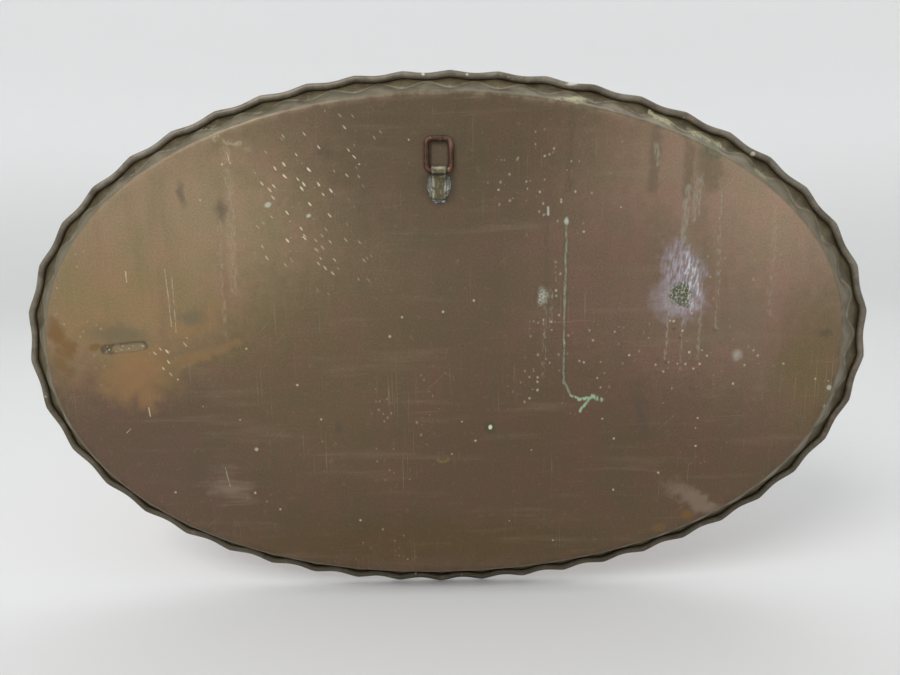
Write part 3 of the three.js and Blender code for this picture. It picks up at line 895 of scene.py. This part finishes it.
    matt = f.most(drip, hook, core, lime_crust, f.times(specks, 0.8), rust)
    roughness = f.blend(f.band(mottle, 0.3, 0.7), 0.40, 0.52)
    roughness = f.blend(matt, roughness, 0.85)
    roughness = f.blend(f.times(bloom, 0.8), roughness, 0.36)
    metallic = f.blend(matt, 0.45, 0.0)
    height = f.math("ADD", f.times(f.noise(p, 9, 2), 1.6), f.times(grain, 0.14))
    height = f.math("ADD", height, f.times(wall, fine_mottle, 1.6))
    height = f.math("SUBTRACT", height, f.times(gouge_line, 1.6))
    return f.finish(colour, roughness, metallic, height, 0.0004)


def hammered_copper_face():
    """The face nobody sees in use on a wall: planished copper, browned in the hollows."""
    f = Finish("hammered_copper_face")
    p = f.vector("MULTIPLY", f.place, IN_PLANE)
    shaken = f.scaled(f.noise_vector(p, 40), 0.004)
    marks = f.node(
        "ShaderNodeTexVoronoi", {"feature": "SMOOTH_F1"},
        {"Vector": f.vector("ADD", p, shaken), "Scale": 88.0, "Smoothness": 0.25},
    ).outputs["Distance"]
    cloud, mottle = f.noise(f.place, 8, 5), f.noise(f.place, 45, 5, 0.6)
    colour = f.mix(f.band(cloud, 0.35, 0.65), srgb(168, 112, 78), srgb(146, 96, 68))
    colour = f.mix(f.times(f.band(mottle, 0.5, 0.75), 0.6), colour, srgb(104, 72, 52))
    colour = f.mix(f.times(f.band(marks, 0.45, 0.75), 0.5), colour, srgb(196, 138, 100))
    hairs = f.most(f.hairs(0.3, 0.66), f.hairs(1.2, 0.68))
    colour = f.mix(f.times(hairs, 0.4), colour, srgb(214, 168, 132))
    wall = f.attribute("wall")
    colour = f.mix(f.times(wall, f.band(mottle, 0.35, 0.7), 0.55), colour, srgb(92, 68, 50))
    roughness = f.blend(f.band(mottle, 0.35, 0.7), 0.26, 0.46)
    height = f.math("SUBTRACT", f.times(marks, 1.0), f.times(hairs, 0.05))
    return f.finish(colour, roughness, 0.95, height, 0.0011)


def rolled_hem_copper():
    f = Finish("rolled_hem_copper")
    p = f.place
    mottle, grain = f.noise(p, 38, 5, 0.6), f.noise(p, 170, 4, 0.6)
    colour = f.mix(f.band(mottle, 0.35, 0.65), srgb(98, 90, 76), srgb(132, 124, 110))
    colour = f.mix(f.times(f.band(grain, 0.5, 0.75), 0.5), colour, srgb(72, 60, 46))
    lower = f.band(f.node("ShaderNodeSeparateXYZ", {}, {"Vector": p}).outputs[2], 0.08, -0.2)
    colour = f.mix(f.times(lower, 0.65), colour, srgb(70, 62, 44))
    paler_marks = f.band(f.noise(p, 75, 4), 0.58, 0.7)
    colour = f.mix(f.times(paler_marks, 0.45), colour, srgb(146, 116, 96))
    cream = f.most(
        f.times(f.dots((45, 45), 0.09, 0.22), 0.9), f.times(f.dots((100, 100), 0.16, 0.12), 0.7),
        f.spot(-0.339, 0.208, 0.008, 0.0026, -0.62, 0.005, 0.4),
        f.spot(-0.362, 0.192, 0.0035, 0.002, -0.62, 0.003, 0.4),
        f.spot(-0.021, 0.261, 0.0016, 0.0016, 0, 0.001, 0.4),
        f.spot(0.021, 0.260, 0.0012, 0.0012, 0, 0.001, 0.4),
        f.spot(0.122, 0.251, 0.0060, 0.0020, 0.1, 0.004, 0.5),
        f.spot(0.201, 0.240, 0.0030, 0.0016, 0.2, 0.003, 0.5),
        f.spot(0.299, 0.183, 0.0022, 0.0022, 0, 0.001, 0.4),
        f.spot(0.410, 0.002, 0.0014, 0.0014, 0, 0.001, 0.4),
    )
    colour = f.mix(f.times(cream, 0.85), colour, srgb(204, 198, 182))
    roughness = f.blend(f.band(mottle, 0.3, 0.7), 0.42, 0.6)
    height = f.math("ADD", f.times(mottle, 0.8), f.math("ADD", f.times(grain, 0.25), f.times(cream, 0.4)))
    return f.finish(colour, f.blend(cream, roughness, 0.85), f.blend(cream, 0.5, 0.0), height, 0.0004)


def iron_core():
    f = Finish("rusted_iron_wire")
    rust = f.noise(f.place, 120, 5, 0.65)
    colour = f.mix(f.band(rust, 0.4, 0.62), srgb(52, 46, 42), srgb(96, 60, 38))
    return f.finish(colour, f.blend(rust, 0.6, 0.9), 0.4, rust, 0.0003)


def browned_bail_copper():
    f = Finish("browned_bail_copper")
    p = f.place
    mottle, grain = f.noise(p, 150, 4, 0.6), f.noise(p, 700, 4, 0.6)
    colour = f.mix(f.band(mottle, 0.35, 0.65), srgb(66, 45, 33), srgb(94, 66, 50))
    colour = f.mix(f.times(f.band(grain, 0.5, 0.7), 0.55), colour, srgb(58, 40, 28))
    # Pale pinkish streaks: copper rubbed bare, which also stand in as painted highlights on the wire.
    bare_copper_and_highlight = f.band(f.noise(f.mapped(p, (260, 260, 60)), 1.0, 3), 0.54, 0.66)
    colour = f.mix(f.times(bare_copper_and_highlight, 0.5), colour, srgb(148, 114, 98))
    colour = f.mix(f.times(f.hairs(0.2, 0.6, 1600, 60), 0.4), colour, srgb(180, 146, 126))
    height = f.math("ADD", f.times(mottle, 0.7), f.times(grain, 0.35))
    return f.finish(colour, f.blend(mottle, 0.32, 0.52), 0.65, height, 0.0003)


def tarnished_strap():
    f = Finish("tarnished_strap")
    p = f.place
    mottle, grain = f.noise(p, 190, 5, 0.65), f.noise(p, 800, 4, 0.6)
    colour = f.mix(f.band(mottle, 0.38, 0.62), srgb(84, 78, 56), srgb(110, 101, 75))
    tan = f.band(f.noise(p, 320, 4), 0.56, 0.66)
    colour = f.mix(f.times(tan, 0.6), colour, srgb(156, 140, 104))
    colour = f.mix(f.times(f.band(grain, 0.55, 0.75), 0.5), colour, srgb(66, 58, 42))
    # Pale tinning: the band along the top of the eye is also a painted highlight on it; the lines down the
    # plate's edges are tinning.
    tinning_and_highlight = f.most(
        f.times(f.spot(-0.007, 0.1725, 0.0085, 0.0016, 0, 0.004, 0.5), f.band(mottle, 0.38, 0.5)),
        f.times(f.spot(-0.0130, 0.153, 0.0014, 0.014, 0, 0.004, 0.6), f.band(mottle, 0.38, 0.55)),
        f.times(f.spot(-0.0010, 0.153, 0.0014, 0.014, 0, 0.004, 0.6), f.band(mottle, 0.42, 0.55)),
    )
    colour = f.mix(f.times(tinning_and_highlight, 0.6), colour, srgb(186, 186, 172))
    # Painted shade in the groove under the eye, where the strap turns in towards the plate.
    groove_shade = f.stroke((-0.0145, 0.1655), (0.0005, 0.1655), 0.0016, 0.001)
    colour = f.mix(f.times(groove_shade, 0.8), colour, srgb(40, 32, 24))
    roughness = f.blend(tinning_and_highlight, f.blend(mottle, 0.42, 0.62), 0.3)
    height = f.math("ADD", f.times(mottle, 0.8), f.times(grain, 0.3))
    return f.finish(colour, roughness, 0.55, height, 0.00025)


def dull_solder(name, tint):
    f = Finish(name)
    p = f.place
    mottle, grain = f.noise(p, 260, 5, 0.65), f.noise(p, 900, 3, 0.6)
    colour = f.mix(f.band(mottle, 0.55, 0.66), tint, srgb(194, 198, 196))
    colour = f.mix(f.times(f.band(grain, 0.48, 0.62), 0.6), colour, srgb(78, 80, 70))
    colour = f.mix(f.times(f.band(f.noise(p, 140, 3), 0.48, 0.6), 0.75), colour, srgb(84, 76, 60))
    height = f.math("ADD", mottle, f.times(grain, 0.3))
    return f.finish(colour, f.blend(f.band(mottle, 0.4, 0.6), 0.5, 0.3), 0.5, height, 0.0005)


def studio_white():
    f = Finish("studio_white")
    height = f.node("ShaderNodeSeparateXYZ", {}, {"Vector": f.place}).outputs[2]
    # Painted shade: the floor is darker than the sweep and grows paler up the walls.
    colour = f.mix(f.band(height, -0.26, 0.8), (0.69, 0.685, 0.675, 1), (0.86, 0.86, 0.855, 1))
    return f.finish(colour, 0.95, 0.0, specular=0.1)


# ---------------------------------------------------------------- the object
def place(piece, body, node, slot):
    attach(piece, body)
    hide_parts(node)


shell = tray_shell(aged_copper_back(), hammered_copper_face(), rolled_hem_copper())
place(shell, "tray", "tray_sheet", "aged_copper")
place(rim_core(iron_core()), "tray", "rim_wire", "iron_wire")
place(hanger_strap(tarnished_strap()), "tray", "hanger_strap", "strap_brass")
place(hanger_bail(browned_bail_copper()), "bail", "hanger_bail", "bail_copper")

SIDE_LUMP, TOE_LUMP = (5.2, 2.4, 11.5), (7.4, 2.0, 4.4)
SIDE_LUMP_RISE = 12.6
SOLDER_GAP = 0.15

bright = dull_solder("bright_solder", srgb(112, 114, 104))
bluish = dull_solder("bluish_solder", srgb(88, 96, 92))
for name, side, node, seed in (
    ("solder_left_lump", -1, "solder_left", 3.1),
    ("solder_right_lump", 1, "solder_right", 8.4),
):
    edge = HANGER_X + side * (STRAP_WIDTH / 2 * STRAP_PLATE_SHARE + SOLDER_GAP)
    middle = (edge, 0, STRAP_FOOT + SIDE_LUMP_RISE)
    lump = solder_mound(name, bright, middle, SIDE_LUMP, [((edge, 0, 0), (-side, 0, 0))], seed)
    place(lump, "tray", node, "solder")
toe = solder_mound(
    "solder_toe_lump", bluish, (HANGER_X, 0, STRAP_FOOT), TOE_LUMP,
    [((0, 0, STRAP_FOOT - SOLDER_GAP), (0, 0, 1))], 5.5,
)
place(toe, "tray", "solder_toe", "solder")

# ---------------------------------------------------------------- stage, light and camera, in metres
FLOOR_DEPTH = 0.2655
COVE_START, COVE_RADIUS, COVE_TOP = 3.2, 1.6, 3.4
COVE_STEPS, COVE_SIDES = 12, 96
SKY_TINT, SKY_STRENGTH = (0.95, 0.975, 1.0, 1), 0.91
CAMERA_PLACE = (0.0015, -0.6547, 0.1249)
CAMERA_TILT, CAMERA_ROLL = 80, -0.7  # degrees: 80 looks 10 below the level
CAMERA_LENS, CAMERA_SENSOR = 27.04, 36  # millimetres


def studio_cove(material):
    """A level floor that sweeps up on every side, open at the top."""
    bm = bmesh.new()
    profile = [(0, -FLOOR_DEPTH), (1.2, -FLOOR_DEPTH), (COVE_START, -FLOOR_DEPTH)]
    for i in range(1, COVE_STEPS + 1):
        angle = pi / 2 * i / COVE_STEPS
        out, up = COVE_RADIUS * sin(angle), COVE_RADIUS - FLOOR_DEPTH - COVE_RADIUS * cos(angle)
        profile.append((COVE_START + out, up))
    profile.append((COVE_START + COVE_RADIUS, COVE_TOP))
    line = [bm.verts.new((x, 0, z)) for x, z in profile]
    edges = [bm.edges.new((a, b)) for a, b in zip(line, line[1:])]
    bmesh.ops.spin(
        bm, geom=line + edges, cent=(0, 0, 0), axis=(0, 0, 1), dvec=(0, 0, 0),
        angle=2 * pi, steps=COVE_SIDES, use_merge=True,
    )
    bmesh.ops.remove_doubles(bm, verts=bm.verts, dist=0.0001)
    bmesh.ops.recalc_face_normals(bm, faces=bm.faces)
    bmesh.ops.reverse_faces(bm, faces=bm.faces)
    for face in bm.faces:
        face.smooth = True
    mesh = bpy.data.meshes.new("studio_cove")
    bm.to_mesh(mesh)
    bm.free()
    mesh.materials.append(material)
    cove = bpy.data.objects.new("studio_cove", mesh)
    bpy.context.collection.objects.link(cove)


studio_cove(studio_white())


def soft_light(name, place, size, watts):
    """A round light turned towards the object's middle."""
    data = bpy.data.lights.new(name, "AREA")
    data.shape = "DISK"
    data.size = size
    data.energy = watts
    light = bpy.data.objects.new(name, data)
    light.location = place
    light.rotation_euler = (-Vector(place)).to_track_quat("-Z", "Y").to_euler()
    bpy.context.collection.objects.link(light)


soft_light("window_light", place=(-1.6, -2.2, 2.6), size=1.8, watts=68)
soft_light("room_light", place=(1.6, 1.8, 2.8), size=2.2, watts=11)

world = bpy.data.worlds.new("studio_world")
world.use_nodes = True
sky = world.node_tree.nodes["Background"]
sky.inputs["Color"].default_value = SKY_TINT
sky.inputs["Strength"].default_value = SKY_STRENGTH
bpy.context.scene.world = world
bpy.context.scene.view_settings.view_transform = "Standard"

camera_data = bpy.data.cameras.new("camera")
camera_data.sensor_width = CAMERA_SENSOR
camera_data.lens = CAMERA_LENS
camera = bpy.data.objects.new("camera", camera_data)
camera.matrix_world = (
    Matrix.Translation(CAMERA_PLACE)
    @ Matrix.Rotation(radians(CAMERA_TILT), 4, "X")
    @ Matrix.Rotation(radians(CAMERA_ROLL), 4, "Z")
)
bpy.context.collection.objects.link(camera)
bpy.context.scene.camera = camera
